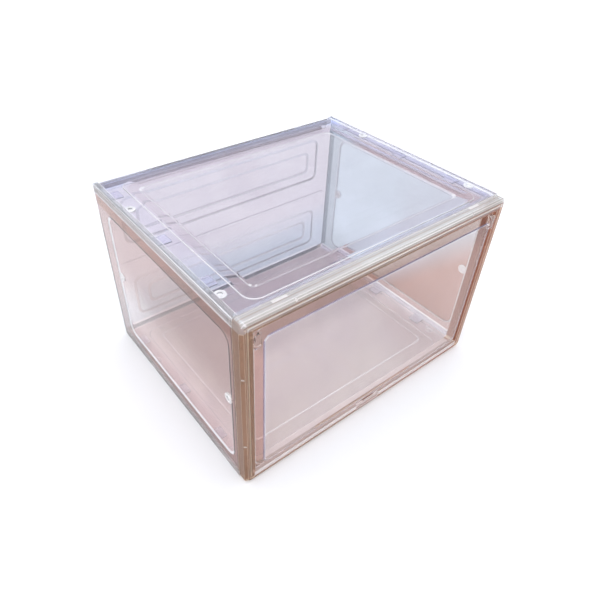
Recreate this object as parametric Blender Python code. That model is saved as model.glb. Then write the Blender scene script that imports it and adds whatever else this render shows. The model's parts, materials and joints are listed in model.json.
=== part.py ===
"""Clear flat-pack shoe box: five panels, a front frame and a flip-up front door.

Metres, +Z up.  The origin is the centre of the footprint, +X runs along the width,
and the door faces -Y.
"""
import math

import bmesh
import bpy
from mathutils import Matrix, Vector

# Overall size, over the crown of the door at the front
WIDTH = 0.345
DEPTH = 0.284
HEIGHT = 0.220

# Walls and fits
WALL = 0.002
GAP = 0.0003
SKIRT_THICKNESS = 0.0018
SKIRT_HEIGHT = 0.010
TONGUE_THICKNESS = 0.0016
TONGUE_ROOT_NEAR = 0.0005
TONGUE_ROOT_MIDDLE = 0.0016
TONGUE_ROOT_FAR = 0.0040
TONGUE_END_CLEARANCE = 0.003
BACK_TONGUE_CLEARANCE = 0.012
SIDE_ROOT_DEPTH = 0.0008
BACK_ROOT_DEPTH = 0.0012
CORNER_STEPS = 4
BOSS_SIDES = 16
HOLE_SIDES = 12
OVERSHOOT = 0.001
MERGE = 0.0001

# Places along the depth
DOOR_CROWN = 0.002
BACK_Y = DEPTH / 2
FRAME_Y = -DEPTH / 2 + DOOR_CROWN
PANEL_FRONT_Y = FRAME_Y + 0.0127
PANEL_MID_Y = 0.0025

# Top and bottom panels: a border, a rim along both sides, and a field inside a raised bead
BORDER_DROP = 0.0014
RIM_WIDTH = 0.006
RIM_SLOPE = 0.0008
RIM_CHAMFER = 0.0006
FIELD_OUTER = (0.1500, 0.1236)
FIELD_FOOT = (0.1362, 0.1066)
FIELD_INNER = (0.1335, 0.1038)
FIELD_RADIUS = 0.013
FOOT_RADIUS = 0.006
INNER_RADIUS = 0.004
FOOT_DROP = 0.0009
INNER_DROP = 0.0015
BEAD_RISE = 0.0011
BEAD_WIDTH = 0.0030
BEAD_CHAMFER = 0.0005
FIELD_LEAD = 0.0004
BOSS_RADIUS = 0.0057
BOSS_RISE = 0.0012
BOSS_HOLE_RADIUS = 0.0026
BOSS_X = 0.163
BOSS_BACK_Y = 0.070
BOSS_FRONT_Y = -0.097

# Side panels: one sunken field each, with a ring boss on its front and back edges
SIDE_FIELD = (0.1190, 0.0865)
SIDE_FIELD_MID = (-0.0012, 0.1085)
SIDE_FIELD_RADIUS = 0.013
FIELD_STEP = 0.0012
FIELD_BEVEL = 0.0026
SIDE_BOSS_PLACES = (-0.1145, 0.1120)
SIDE_BOSS_Z = 0.112
HOOK_PLACES = (0.110, 0.006, -0.073)
HOOK_LENGTH = 0.015
HOOK_REACH = 0.014
HOOK_THICKNESS = 0.0016

# Back panel: a rib half way up, and a pair of nested fields above and below it
BACK_RIB_Z = 0.1075
BACK_RIB_HEIGHT = 0.004
BACK_RIB_RISE = 0.0012
BACK_RIB_INSET = 0.010
BACK_FIELD_OUTER = (0.1480, 0.0298)
BACK_FIELD_INNER = (0.1305, 0.0150)
BACK_FIELD_LIFT = 0.0553
BACK_FIELD_RADIUS = 0.010
BACK_FIELD_STEP = 0.0010
BAND_DROP = 1.2
MIDDLE_DROP = 1.9
BAND_RADIUS = 0.7
MIDDLE_RADIUS = 0.6

# Front frame: a ring that meets the panels, chamfered at the front, and a rear tongue
FRAME_FACE = 0.012
FRAME_RING_DEPTH = 0.0124
FRAME_LIP_DEPTH = 0.009
FRAME_CHAMFER = 0.0030
CHAMFER_SHARE = 0.41
LIP_CHAMFER = 0.0008
FRAME_RADIUS_SHARE = 0.3
FRAME_RADIUS_LEAST = 0.001
FRAME_TONGUE_INSET = 0.0037
FRAME_TONGUE_END = 0.0190
FRAME_TONGUE_CLEARANCE = 0.0015
FRAME_RADIUS = 0.0045
GROOVE_FROM = 0.0050
GROOVE_TO = 0.0072
GROOVE_DEPTH = 0.0008
GROOVE_SLOPE = 0.0004
TICK_WIDTH = 0.0016
TICK_DEPTH = 0.0020
TICK_HEIGHTS = (0.062, 0.157)
TICK_X = 0.1165
POCKET_X = 0.1275
POCKET_HALF_LENGTH = 0.0080
POCKET_PLACE = (0.0078, 0.0116)
POCKET_DEPTH = 0.0005
NOTCH_HALF_WIDTH = 0.018
NOTCH_FLOOR_Z = 0.0042
NOTCH_WEB = 0.0013
STOP_DEPTH = 0.002
STOP_REACH = 0.003
STOP_HEIGHTS = ((0.030, 0.060), (0.140, 0.160))
STOP_HALF_LENGTH = 0.076
TAB_HALF_LENGTH = 0.008
TAB_LOW_Z = 0.2074
TAB_DEPTHS = (0.0010, 0.0023)

# Door, hung on two moulded pins at its top corners
DOOR_SIDE_GAP = 0.0009
DOOR_END_GAP = 0.0010
DOOR_FLANGE = 0.0012
DOOR_SLOPE = 0.0074
DOOR_CORNER = 0.003
SLOPE_FOOT_CORNER = 0.012
CROWN_CORNER = 0.008
DOOR_EDGE = 0.0002
DOOR_INNER_SHIFT = 0.0009
CROWN_EDGE = 0.0006
HINGE_Y = FRAME_Y + 0.0038
HINGE_Z = 0.200
PIN_RADIUS = 0.0016
PIN_CLEARANCE = 0.0004
PIN_REACH = 0.0034
PIN_ROOT = 0.004
PULL_HALF_WIDTH = 0.008
PULL_HEIGHTS = (0.0006, 0.0016, 0.0032, 0.0042)
PULL_PROUD = 0.0012
PULL_ROOT = 0.0005
KNUCKLE_WIDTH = 0.0072
KNUCKLE_HEIGHTS = (0.1875, 0.2032)
KNUCKLE_FRONT = 0.0010
KNUCKLE_DEPTH = 0.0028

# Clear plastic
CLEAR_PLASTIC = (0.86, 0.79, 0.78, 1.0)
EDGE_PLASTIC = (0.70, 0.58, 0.52, 1.0)
DOOR_PLASTIC = (0.84, 0.74, 0.73, 1.0)
GLOSS = 0.06
REFRACTION = 1.57
CLEARNESS = 0.9


def clear_scene():
    for item in list(bpy.data.objects):
        bpy.data.objects.remove(item, do_unlink=True)


def plastic(name, colour):
    material = bpy.data.materials.new(name)
    material.use_nodes = True
    shader = material.node_tree.nodes["Principled BSDF"]
    shader.inputs["Base Color"].default_value = colour
    shader.inputs["Roughness"].default_value = GLOSS
    shader.inputs["IOR"].default_value = REFRACTION
    shader.inputs["Transmission Weight"].default_value = CLEARNESS
    return material


def add_object(name, mesh_builder, material=None):
    """Turns a bmesh into a named object with outward normals."""
    bmesh.ops.recalc_face_normals(mesh_builder, faces=mesh_builder.faces)
    mesh = bpy.data.meshes.new(name)
    mesh_builder.to_mesh(mesh)
    mesh_builder.free()
    item = bpy.data.objects.new(name, mesh)
    bpy.context.scene.collection.objects.link(item)
    if material is not None:
        mesh.materials.append(material)
    return item


def as_tool(item):
    item.hide_render = True
    item.display_type = "WIRE"
    return item


def combine(target, tool, operation):
    modifier = target.modifiers.new(tool.name, "BOOLEAN")
    modifier.operation = operation
    modifier.solver = "EXACT"
    modifier.object = as_tool(tool)


def rounded_rectangle(half_width, half_height, radius, middle=(0.0, 0.0)):
    """Points of a rounded rectangle, the same number whatever its size."""
    points = []
    for corner in range(4):
        sign_u = 1 if corner in (0, 3) else -1
        sign_v = 1 if corner in (0, 1) else -1
        for step in range(CORNER_STEPS + 1):
            turn = math.pi / 2 * (corner + step / CORNER_STEPS)
            u = sign_u * (half_width - radius) + radius * math.cos(turn)
            v = sign_v * (half_height - radius) + radius * math.sin(turn)
            points.append((middle[0] + u, middle[1] + v))
    return points


def loft(name, loops, material=None, ring=False):
    """A solid skinned over loops of points: capped at both ends, or closed on itself."""
    builder = bmesh.new()
    rows = [[builder.verts.new(point) for point in loop] for loop in loops]
    pairs = list(zip(rows, rows[1:]))
    if ring:
        pairs.append((rows[-1], rows[0]))
    for near, far in pairs:
        count = len(near)
        for i in range(count):
            j = (i + 1) % count
            builder.faces.new((near[i], near[j], far[j], far[i]))
    if not ring:
        builder.faces.new(rows[0])
        builder.faces.new(rows[-1])
    return add_object(name, builder, material)


def block(name, low, high, material=None):
    builder = bmesh.new()
    bmesh.ops.create_cube(builder, size=1.0)
    size = Vector(high) - Vector(low)
    middle = (Vector(high) + Vector(low)) / 2
    bmesh.ops.transform(
        builder, matrix=Matrix.Translation(middle) @ Matrix.Diagonal((*size, 1.0)), verts=builder.verts
    )
    return add_object(name, builder, material)


def prism_along_y(name, outline, from_y, to_y, material=None):
    """An outline of (x, z) points extruded along Y."""
    loops = [[(x, y, z) for x, z in outline] for y in (from_y, to_y)]
    return loft(name, loops, material)


def prism_along_x(name, outline, from_x, to_x, material=None):
    """An outline of (y, z) points extruded along X."""
    loops = [[(x, y, z) for y, z in outline] for x in (from_x, to_x)]
    return loft(name, loops, material)


def cylinder(name, radius, start, end, sides=BOSS_SIDES, material=None):
    builder = bmesh.new()
    axis = Vector(end) - Vector(start)
    bmesh.ops.create_cone(
        builder, cap_ends=True, segments=sides, radius1=radius, radius2=radius, depth=axis.length
    )
    turn = axis.to_track_quat("Z", "Y").to_matrix().to_4x4()
    middle = (Vector(start) + Vector(end)) / 2
    bmesh.ops.transform(builder, matrix=Matrix.Translation(middle) @ turn, verts=builder.verts)
    return add_object(name, builder, material)


def sink_field(panel, levels, place):
    """Presses a stepped field into a flat panel, keeping the wall's thickness.

    levels lists (half_width, half_height, radius, depth) from the outer contour inwards,
    and place turns (u, v, depth below the panel's face) into a point.
    """
    half_width, half_height, radius, _ = levels[0]
    spread = WALL / 2
    back = [(half_width + spread, half_height + spread, radius + spread, WALL / 2)]
    back += [(w + spread, h + spread, r + spread, d + WALL) for w, h, r, d in levels]
    flare = FIELD_LEAD * (levels[0][0] - levels[1][0]) / (levels[1][3] - levels[0][3])
    front = [(half_width + flare, half_height + flare, radius + flare, -FIELD_LEAD)]
    front += levels[1:]
    for label, contour, operation in (("swell", back, "UNION"), ("press", front, "DIFFERENCE")):
        loops = [[place(u, v, d) for u, v in rounded_rectangle(w, h, r)] for w, h, r, d in contour]
        tool = loft(f"{label}_{len(panel.modifiers)}_{panel.name}", loops)
        combine(panel, tool, operation)


def field_levels(outer, inner, radius, step):
    """Outer contour, a bevel down, a band, and a second bevel down to the flat middle."""
    return [
        (outer[0], outer[1], radius, 0.0),
        (outer[0] - FIELD_BEVEL, outer[1] - FIELD_BEVEL, radius - FIELD_BEVEL, step),
        (inner[0], inner[1], radius * BAND_RADIUS, step * BAND_DROP),
        (inner[0] - FIELD_BEVEL, inner[1] - FIELD_BEVEL, radius * MIDDLE_RADIUS, step * MIDDLE_DROP),
    ]


def beaded_field(panel, place):
    """Raises a bead round the panel's field and slopes the field down inside it."""
    width, height = FIELD_OUTER
    crest = (width - BEAD_WIDTH, height - BEAD_WIDTH)
    fall = (crest[0] - FIELD_FOOT[0]) / (FOOT_DROP + BEAD_RISE)
    flare = FIELD_LEAD * fall
    swell = [
        (width - BEAD_CHAMFER, height - BEAD_CHAMFER, FIELD_RADIUS, -BEAD_RISE),
        (width, height, FIELD_RADIUS, BEAD_CHAMFER - BEAD_RISE),
        (width, height, FIELD_RADIUS, WALL / 2),
        (*crest, FIELD_RADIUS, WALL - MERGE),
        (*FIELD_FOOT, FOOT_RADIUS, FOOT_DROP + WALL),
        (*FIELD_INNER, INNER_RADIUS, INNER_DROP + WALL),
    ]
    press = [
        (crest[0] + flare, crest[1] + flare, FIELD_RADIUS, -BEAD_RISE - FIELD_LEAD),
        (*FIELD_FOOT, FOOT_RADIUS, FOOT_DROP),
        (*FIELD_INNER, INNER_RADIUS, INNER_DROP),
    ]
    for label, contour, operation in (("swell", swell, "UNION"), ("press", press, "DIFFERENCE")):
        loops = [[place(u, v, d) for u, v in rounded_rectangle(w, h, r)] for w, h, r, d in contour]
        combine(panel, loft(f"{label}_{panel.name}", loops), operation)


def ring_boss(panel, label, seat, out):
    """A round boss with a hole in it; seat is on the panel's face and out points away from it."""
    seat, out = Vector(seat), Vector(out)
    inside = seat - out * WALL / 2
    boss = cylinder(f"boss_{label}", BOSS_RADIUS, inside, seat + out * BOSS_RISE, BOSS_SIDES)
    combine(panel, boss, "UNION")
    top = seat + out * (BOSS_RISE + OVERSHOOT)
    hole = cylinder(f"boss_hole_{label}", BOSS_HOLE_RADIUS, inside, top, HOLE_SIDES)
    combine(panel, hole, "DIFFERENCE")


def tongue_outline(face, back, root, tip, edge_z, up):
    """Section of the tongue that slips behind a skirt, with its root in the wall below it."""
    return [
        (face, tip),
        (back, tip),
        (back, edge_z - up * TONGUE_ROOT_MIDDLE),
        (root, edge_z - up * TONGUE_ROOT_FAR),
        (root, edge_z - up * TONGUE_ROOT_NEAR),
        (face, edge_z - up * TONGUE_ROOT_NEAR),
    ]


def wall_edges():
    """Label, height, direction and tongue tip of an upright wall's top and bottom edges."""
    drop = BORDER_DROP + WALL + 2 * GAP
    return (
        ("top", HEIGHT - SKIRT_HEIGHT, 1, HEIGHT - drop),
        ("bottom", SKIRT_HEIGHT, -1, drop),
    )


def make_flat_panel(name, material, up):
    """The top panel (up = 1) or the bottom one (up = -1), a mirror image of it."""
    face = HEIGHT if up > 0 else 0.0

    def level(drop):
        return face - up * drop

    half = WIDTH / 2
    inside = half - SKIRT_THICKNESS
    rim = half - RIM_WIDTH
    skirt_end = level(SKIRT_HEIGHT - GAP)
    plate_back = level(BORDER_DROP + WALL)
    right = [
        (rim - RIM_SLOPE, level(BORDER_DROP)),
        (rim, level(0.0)),
        (half - RIM_CHAMFER, level(0.0)),
        (half, level(RIM_CHAMFER)),
        (half, skirt_end),
        (inside, skirt_end),
        (inside, plate_back),
    ]
    outline = right + [(-x, z) for x, z in reversed(right)]
    panel = prism_along_y(name, outline, PANEL_FRONT_Y, BACK_Y, material)
    low_z, high_z = sorted((skirt_end, level(BORDER_DROP + WALL / 2)))
    skirt = block(f"back_skirt_{name}", (-half, BACK_Y - SKIRT_THICKNESS, low_z), (half, BACK_Y, high_z))
    combine(panel, skirt, "UNION")
    beaded_field(panel, lambda u, v, depth: (u, v + PANEL_MID_Y, level(BORDER_DROP + depth)))
    for side_label, x in (("left", -BOSS_X), ("right", BOSS_X)):
        for row_label, y in (("back", BOSS_BACK_Y), ("front", BOSS_FRONT_Y)):
            ring_boss(panel, f"{row_label}_{side_label}_{name}", (x, y, level(BORDER_DROP)), (0, 0, up))
    return panel


def make_side_panel(name, material, side):
    """The left panel (side = -1) or the right one (side = 1)."""
    outer = side * WIDTH / 2
    inner = outer - side * WALL
    low_z = SKIRT_HEIGHT
    high_z = HEIGHT - SKIRT_HEIGHT
    back_y = BACK_Y - WALL - GAP
    outline = [(outer, low_z), (outer, high_z), (inner, high_z), (inner, low_z)]
    panel = prism_along_y(name, outline, PANEL_FRONT_Y, back_y, material)
    tongue_face = side * (WIDTH / 2 - SKIRT_THICKNESS - GAP)
    tongue_back = tongue_face - side * TONGUE_THICKNESS
    root = outer - side * (WALL - SIDE_ROOT_DEPTH)
    tongue_from = FRAME_Y + FRAME_TONGUE_END + FRAME_TONGUE_CLEARANCE
    for label, edge_z, up, tip in wall_edges():
        outline = tongue_outline(tongue_face, tongue_back, root, tip, edge_z, up)
        tool = prism_along_y(f"{label}_tongue_{name}", outline, tongue_from, back_y - TONGUE_END_CLEARANCE)
        combine(panel, tool, "UNION")
        low_x, high_x = sorted((tongue_face - side * TONGUE_THICKNESS / 2, tongue_back - side * HOOK_REACH))
        hook_low, hook_high = sorted((tip - up * MERGE, tip - up * HOOK_THICKNESS))
        for count, middle_y in enumerate(HOOK_PLACES):
            low = (low_x, middle_y - HOOK_LENGTH / 2, hook_low)
            high = (high_x, middle_y + HOOK_LENGTH / 2, hook_high)
            combine(panel, block(f"{label}_hook_{count}_{name}", low, high), "UNION")
    half_y, half_z = SIDE_FIELD
    levels = [
        (half_y, half_z, SIDE_FIELD_RADIUS, 0.0),
        (half_y - FIELD_BEVEL, half_z - FIELD_BEVEL, SIDE_FIELD_RADIUS - FIELD_BEVEL, FIELD_STEP),
    ]
    mid_y, mid_z = SIDE_FIELD_MID
    sink_field(panel, levels, lambda u, v, depth: (outer - side * depth, mid_y + u, mid_z + v))
    for label, y in zip(("front", "back"), SIDE_BOSS_PLACES):
        seat = (outer - side * FIELD_STEP, y, SIDE_BOSS_Z)
        ring_boss(panel, f"{label}_{name}", seat, (side, 0, 0))
    return panel


def make_back_panel(name, material):
    half = WIDTH / 2
    inner_y = BACK_Y - WALL
    low_z = SKIRT_HEIGHT
    high_z = HEIGHT - SKIRT_HEIGHT
    panel = block(name, (-half, inner_y, low_z), (half, BACK_Y, high_z), material)
    tongue_face = BACK_Y - SKIRT_THICKNESS - GAP
    tongue_back = tongue_face - TONGUE_THICKNESS
    root = BACK_Y - (WALL - BACK_ROOT_DEPTH)
    tongue_half = half - BACK_TONGUE_CLEARANCE
    for label, edge_z, up, tip in wall_edges():
        outline = tongue_outline(tongue_face, tongue_back, root, tip, edge_z, up)
        tool = prism_along_x(f"{label}_tongue_{name}", outline, -tongue_half, tongue_half)
        combine(panel, tool, "UNION")
    rib_half = half - BACK_RIB_INSET
    rib = block(
        f"rib_{name}",
        (-rib_half, inner_y - BACK_RIB_RISE, BACK_RIB_Z - BACK_RIB_HEIGHT / 2),
        (rib_half, inner_y + WALL / 2, BACK_RIB_Z + BACK_RIB_HEIGHT / 2),
    )
    combine(panel, rib, "UNION")
    levels = field_levels(BACK_FIELD_OUTER, BACK_FIELD_INNER, BACK_FIELD_RADIUS, BACK_FIELD_STEP)
    for lift in (-BACK_FIELD_LIFT, BACK_FIELD_LIFT):
        mid_z = BACK_RIB_Z + lift

        def place(u, v, depth, mid_z=mid_z):
            return (u, BACK_Y - depth, mid_z + v)

        sink_field(panel, levels, place)
    return panel


def frame_ring(name, material):
    """The frame's hollow section, swept round the opening."""
    tongue_inner = FRAME_TONGUE_INSET + TONGUE_THICKNESS
    chamfer_inner = FRAME_CHAMFER + WALL * CHAMFER_SHARE
    profile = [
        (FRAME_CHAMFER, 0.0),
        (0.0, FRAME_CHAMFER),
        (0.0, FRAME_RING_DEPTH),
        (FRAME_TONGUE_INSET, FRAME_RING_DEPTH),
        (FRAME_TONGUE_INSET, FRAME_TONGUE_END),
        (tongue_inner, FRAME_TONGUE_END),
        (tongue_inner, FRAME_RING_DEPTH - WALL),
        (WALL, FRAME_RING_DEPTH - WALL),
        (WALL, chamfer_inner),
        (chamfer_inner, WALL),
        (FRAME_FACE - WALL, WALL),
        (FRAME_FACE - WALL, FRAME_LIP_DEPTH),
        (FRAME_FACE, FRAME_LIP_DEPTH),
        (FRAME_FACE, LIP_CHAMFER),
        (FRAME_FACE - LIP_CHAMFER, 0.0),
        (GROOVE_TO, 0.0),
        (GROOVE_TO - GROOVE_SLOPE, GROOVE_DEPTH),
        (GROOVE_FROM + GROOVE_SLOPE, GROOVE_DEPTH),
        (GROOVE_FROM, 0.0),
    ]
    middle = (0.0, HEIGHT / 2)
    loops = []
    for inset, depth in profile:
        radius = max(FRAME_RADIUS - inset * FRAME_RADIUS_SHARE, FRAME_RADIUS_LEAST)
        contour = rounded_rectangle(WIDTH / 2 - inset, HEIGHT / 2 - inset, radius, middle)
        loops.append([(x, FRAME_Y + depth, z) for x, z in contour])
    return loft(name, loops, material, ring=True)


def frame_nicks():
    """Low and high corners of the ticks in the frame's chamfer and the pockets in its top face."""
    half_tick, reach = TICK_WIDTH / 2, FRAME_CHAMFER / 2 + TICK_DEPTH / 2
    front = FRAME_Y - OVERSHOOT
    nicks = []
    for side in (-1, 1):
        low_x, high_x = sorted((side * (WIDTH / 2 + OVERSHOOT), side * (WIDTH / 2 - reach)))
        for z in TICK_HEIGHTS:
            nicks.append(((low_x, front, z - half_tick), (high_x, FRAME_Y + reach, z + half_tick)))
        x = side * TICK_X
        nicks.append(((x - half_tick, front, HEIGHT - reach), (x + half_tick, FRAME_Y + reach, HEIGHT + OVERSHOOT)))
        x = side * POCKET_X
        nicks.append((
            (x - POCKET_HALF_LENGTH, FRAME_Y + POCKET_PLACE[0], HEIGHT - POCKET_DEPTH),
            (x + POCKET_HALF_LENGTH, FRAME_Y + POCKET_PLACE[1], HEIGHT + OVERSHOOT),
        ))
    return nicks


def make_front_frame(name, material):
    """A picture frame with a grooved face, door stops, pin holes and a finger notch."""
    frame = frame_ring(name, material)
    notch = block(
        f"notch_{name}",
        (-NOTCH_HALF_WIDTH, FRAME_Y - OVERSHOOT, NOTCH_FLOOR_Z),
        (NOTCH_HALF_WIDTH, HINGE_Y - NOTCH_WEB, FRAME_FACE + OVERSHOOT),
    )
    combine(frame, notch, "DIFFERENCE")
    for count, (low, high) in enumerate(frame_nicks()):
        combine(frame, block(f"nick_{count}_{name}", low, high), "DIFFERENCE")

    opening = WIDTH / 2 - FRAME_FACE
    stop_y = HINGE_Y + WALL / 2 + GAP
    for side_label, side in (("left", -1), ("right", 1)):
        low_x, high_x = sorted((side * (opening + WALL / 2), side * (opening - STOP_REACH)))
        for count, (low_z, high_z) in enumerate(STOP_HEIGHTS):
            stop = block(
                f"stop_{count}_{side_label}_{name}",
                (low_x, stop_y, low_z),
                (high_x, stop_y + STOP_DEPTH, high_z),
            )
            combine(frame, stop, "UNION")
        hole = cylinder(
            f"pin_hole_{side_label}_{name}",
            PIN_RADIUS + PIN_CLEARANCE,
            (side * (opening - OVERSHOOT), HINGE_Y, HINGE_Z),
            (side * (opening + WALL + OVERSHOOT), HINGE_Y, HINGE_Z),
        )
        combine(frame, hole, "DIFFERENCE")
    stop = block(
        f"stop_bottom_{name}",
        (-STOP_HALF_LENGTH, stop_y, FRAME_FACE - WALL / 2),
        (STOP_HALF_LENGTH, stop_y + STOP_DEPTH, FRAME_FACE + STOP_REACH),
    )
    combine(frame, stop, "UNION")
    tab = block(
        f"tab_{name}",
        (-TAB_HALF_LENGTH, FRAME_Y + TAB_DEPTHS[0], TAB_LOW_Z),
        (TAB_HALF_LENGTH, FRAME_Y + TAB_DEPTHS[1], HEIGHT - FRAME_FACE + WALL / 2),
    )
    combine(frame, tab, "UNION")
    return frame


def make_door(name, material):
    """A shallow tray whose flat crown stands proud of the frame, with a pin at each top corner.

    Its mesh is made around the hinge axis, which is the object's origin.
    """
    low_z = FRAME_FACE + DOOR_END_GAP
    high_z = HEIGHT - FRAME_FACE - DOOR_END_GAP
    half_x = WIDTH / 2 - FRAME_FACE - DOOR_SIDE_GAP
    half_z = (high_z - low_z) / 2
    middle = (0.0, (high_z + low_z) / 2 - HINGE_Z)
    flange_front = -WALL / 2
    crown = -DEPTH / 2 - HINGE_Y
    slope_end = DOOR_FLANGE + DOOR_SLOPE

    def contour(inset, y, radius):
        outline = rounded_rectangle(half_x - inset, half_z - inset, radius, middle)
        return [(x, y, z) for x, z in outline]

    loops = [
        contour(slope_end + CROWN_EDGE, crown, CROWN_CORNER),
        contour(slope_end, crown + CROWN_EDGE / 2, CROWN_CORNER),
        contour(DOOR_FLANGE, flange_front, SLOPE_FOOT_CORNER),
        contour(DOOR_EDGE, flange_front, DOOR_CORNER),
        contour(0.0, flange_front + DOOR_EDGE, DOOR_CORNER),
        contour(0.0, flange_front + WALL, DOOR_CORNER),
        contour(DOOR_FLANGE + DOOR_INNER_SHIFT, flange_front + WALL, SLOPE_FOOT_CORNER),
        contour(slope_end + DOOR_INNER_SHIFT, crown + WALL, CROWN_CORNER),
    ]
    door = loft(name, loops, material)
    door.location = (0.0, HINGE_Y, HINGE_Z)

    front_y = FRAME_Y - KNUCKLE_FRONT
    for side_label, side in (("left", -1), ("right", 1)):
        low_x, high_x = sorted((side * (half_x - DOOR_EDGE), side * (half_x - KNUCKLE_WIDTH)))
        knuckle = block(
            f"knuckle_{side_label}_{name}",
            (low_x, front_y, KNUCKLE_HEIGHTS[0]),
            (high_x, front_y + KNUCKLE_DEPTH + WALL, KNUCKLE_HEIGHTS[1]),
        )
        combine(door, knuckle, "UNION")
        pin = cylinder(
            f"pin_{side_label}_{name}",
            PIN_RADIUS,
            (side * (half_x - PIN_ROOT), HINGE_Y, HINGE_Z),
            (side * (half_x + DOOR_SIDE_GAP + PIN_REACH), HINGE_Y, HINGE_Z),
        )
        combine(door, pin, "UNION")
    root_y, proud_y = HINGE_Y - PULL_ROOT, FRAME_Y - PULL_PROUD
    outline = [(y, low_z + rise) for y, rise in zip((root_y, proud_y, proud_y, root_y), PULL_HEIGHTS)]
    pull = prism_along_x(f"pull_{name}", outline, -PULL_HALF_WIDTH, PULL_HALF_WIDTH)
    combine(door, pull, "UNION")
    return door


def main():
    clear_scene()
    clear = plastic("clear_plastic", CLEAR_PLASTIC)
    make_flat_panel("top_panel", clear, 1)
    make_flat_panel("bottom_panel", clear, -1)
    make_side_panel("left_panel", clear, -1)
    make_side_panel("right_panel", clear, 1)
    make_back_panel("back_panel", clear)
    make_front_frame("front_frame", plastic("edge_plastic", EDGE_PLASTIC))
    make_door("front_door", plastic("door_plastic", DOOR_PLASTIC))


main()
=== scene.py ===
"""Looks of the clear front-door shoe box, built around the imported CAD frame.

Metres, +Z up.  Every panel, the frame and the door is remade here with the
fillets, rings and beads that the moulded plastic shows, in its CAD node's place.
"""
import json
import math

import bmesh
import bpy
from mathutils import Matrix, Vector


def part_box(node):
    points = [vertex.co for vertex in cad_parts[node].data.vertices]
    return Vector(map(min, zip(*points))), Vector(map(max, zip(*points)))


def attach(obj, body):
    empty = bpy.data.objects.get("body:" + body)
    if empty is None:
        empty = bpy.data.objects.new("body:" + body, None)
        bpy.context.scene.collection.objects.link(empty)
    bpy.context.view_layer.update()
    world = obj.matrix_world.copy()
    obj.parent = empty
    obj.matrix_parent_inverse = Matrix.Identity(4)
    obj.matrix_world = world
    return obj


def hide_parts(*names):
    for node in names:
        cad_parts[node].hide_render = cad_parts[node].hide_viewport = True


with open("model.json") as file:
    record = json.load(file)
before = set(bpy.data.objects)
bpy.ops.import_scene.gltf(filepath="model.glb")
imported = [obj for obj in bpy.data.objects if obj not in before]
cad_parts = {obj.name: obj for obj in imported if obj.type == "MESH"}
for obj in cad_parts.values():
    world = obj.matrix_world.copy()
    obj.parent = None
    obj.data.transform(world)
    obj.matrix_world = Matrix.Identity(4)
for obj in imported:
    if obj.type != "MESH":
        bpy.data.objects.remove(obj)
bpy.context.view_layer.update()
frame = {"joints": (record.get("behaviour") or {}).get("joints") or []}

# Overall places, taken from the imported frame
TOP_LOW, TOP_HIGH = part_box("top_panel")
RING_LOW, RING_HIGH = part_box("front_frame")
DOOR_LOW, DOOR_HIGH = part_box("front_door")
HALF_WIDTH = RING_HIGH.x
HEIGHT = RING_HIGH.z
BACK_Y = TOP_HIGH.y
PANEL_FRONT_Y = TOP_LOW.y
FRAME_Y = RING_LOW.y
CROWN_Y = DOOR_LOW.y
HINGE = Vector(frame["joints"][0]["pos_m"])

# Walls and fits
WALL = 0.002
GAP = 0.0003
SKIRT_THICKNESS = 0.0018
SKIRT_HEIGHT = 0.010
TONGUE_THICKNESS = 0.0016
TONGUE_ROOT_NEAR = 0.0005
TONGUE_ROOT_MIDDLE = 0.0016
TONGUE_ROOT_FAR = 0.0040
TONGUE_ROUND = 0.0003
# How far into a wall its tongue is rooted, as a share of the wall
SIDE_ROOT_SHARE, BACK_ROOT_SHARE = 0.6, 0.4
WALL_ROUND = 0.0004

# Flat panels
PANEL_MID_Y = 0.0025
BORDER_DROP = 0.0014
RIM_WIDTH = 0.006
RIM_SLOPE = 0.6
RIM_ROUND = 0.0006
FIELD_OUTER = (0.1500, 0.1236)
FIELD_FOOT = (0.1362, 0.1066)
FIELD_INNER = (0.1335, 0.1038)
FIELD_RADIUS = 0.013
FOOT_RADIUS = 0.006
INNER_RADIUS = 0.004
FOOT_DROP = 0.0009
INNER_DROP = 0.0015
FOOT_LINE = 0.0006
FOOT_LINE_DROP = 0.0003
BEAD_RISE = 0.0011
BEAD_WIDTH = 0.0030
BEAD_CHAMFER = 0.0003
BEAD_ROUND = 0.0007
FIELD_LEAD = 0.0004
MIDDLE_INSET = 0.004
# Where the half section is cut off, well inside the rim
SECTION_START_X = 0.10
BOSS_RADIUS = 0.0057
BOSS_HOLE_RADIUS = 0.0026
BOSS_X = 0.163
BOSS_BACK_Y = 0.070
BOSS_FRONT_Y = -0.097

# Side panels
SIDE_FIELD = (0.1190, 0.0865)
SIDE_FIELD_MID = (-0.0012, 0.1085)
SIDE_FIELD_RADIUS = 0.013
FIELD_STEP = 0.0012
FIELD_BEVEL = 0.0026
FIELD_ROUND = 0.0009
# A field's cutter comes in this much wider and this far above the wall, and dips at the edge
PRESS_LEAD = (0.0016, 0.00030)
PRESS_LIP = (0.0002, 0.00003)
# Corner radius and depth of a nested field's band and middle, as shares of its radius and step
BAND_RADIUS, BAND_DROP = 0.7, 1.2
MIDDLE_RADIUS, MIDDLE_DROP = 0.6, 1.9
SIDE_BOSS_YS = (-0.1145, 0.1120)
SIDE_BOSS_Z = 0.112
HOOK_PLACES = (0.110, 0.006, -0.073)
HOOK_LENGTH = 0.015
HOOK_REACH = 0.014
HOOK_THICKNESS = 0.0016
TONGUE_TO_FRAME = 0.0015
TONGUE_TO_BACK = 0.003
BACK_BOSS_SINK = 0.0006

# Back panel
BACK_RIB_Z = 0.1075
BACK_RIB_HEIGHT = 0.004
BACK_RIB_PROUD = 0.0012
BACK_RIB_ROUND = 0.0007
BACK_RIB_END = 0.010
BACK_TONGUE_END = 0.012
BACK_FIELD_OUTER = (0.1480, 0.0298)
BACK_FIELD_INNER = (0.1305, 0.0150)
BACK_FIELD_LIFT = 0.0553
BACK_FIELD_RADIUS = 0.010
BACK_FIELD_STEP = 0.0010

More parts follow.
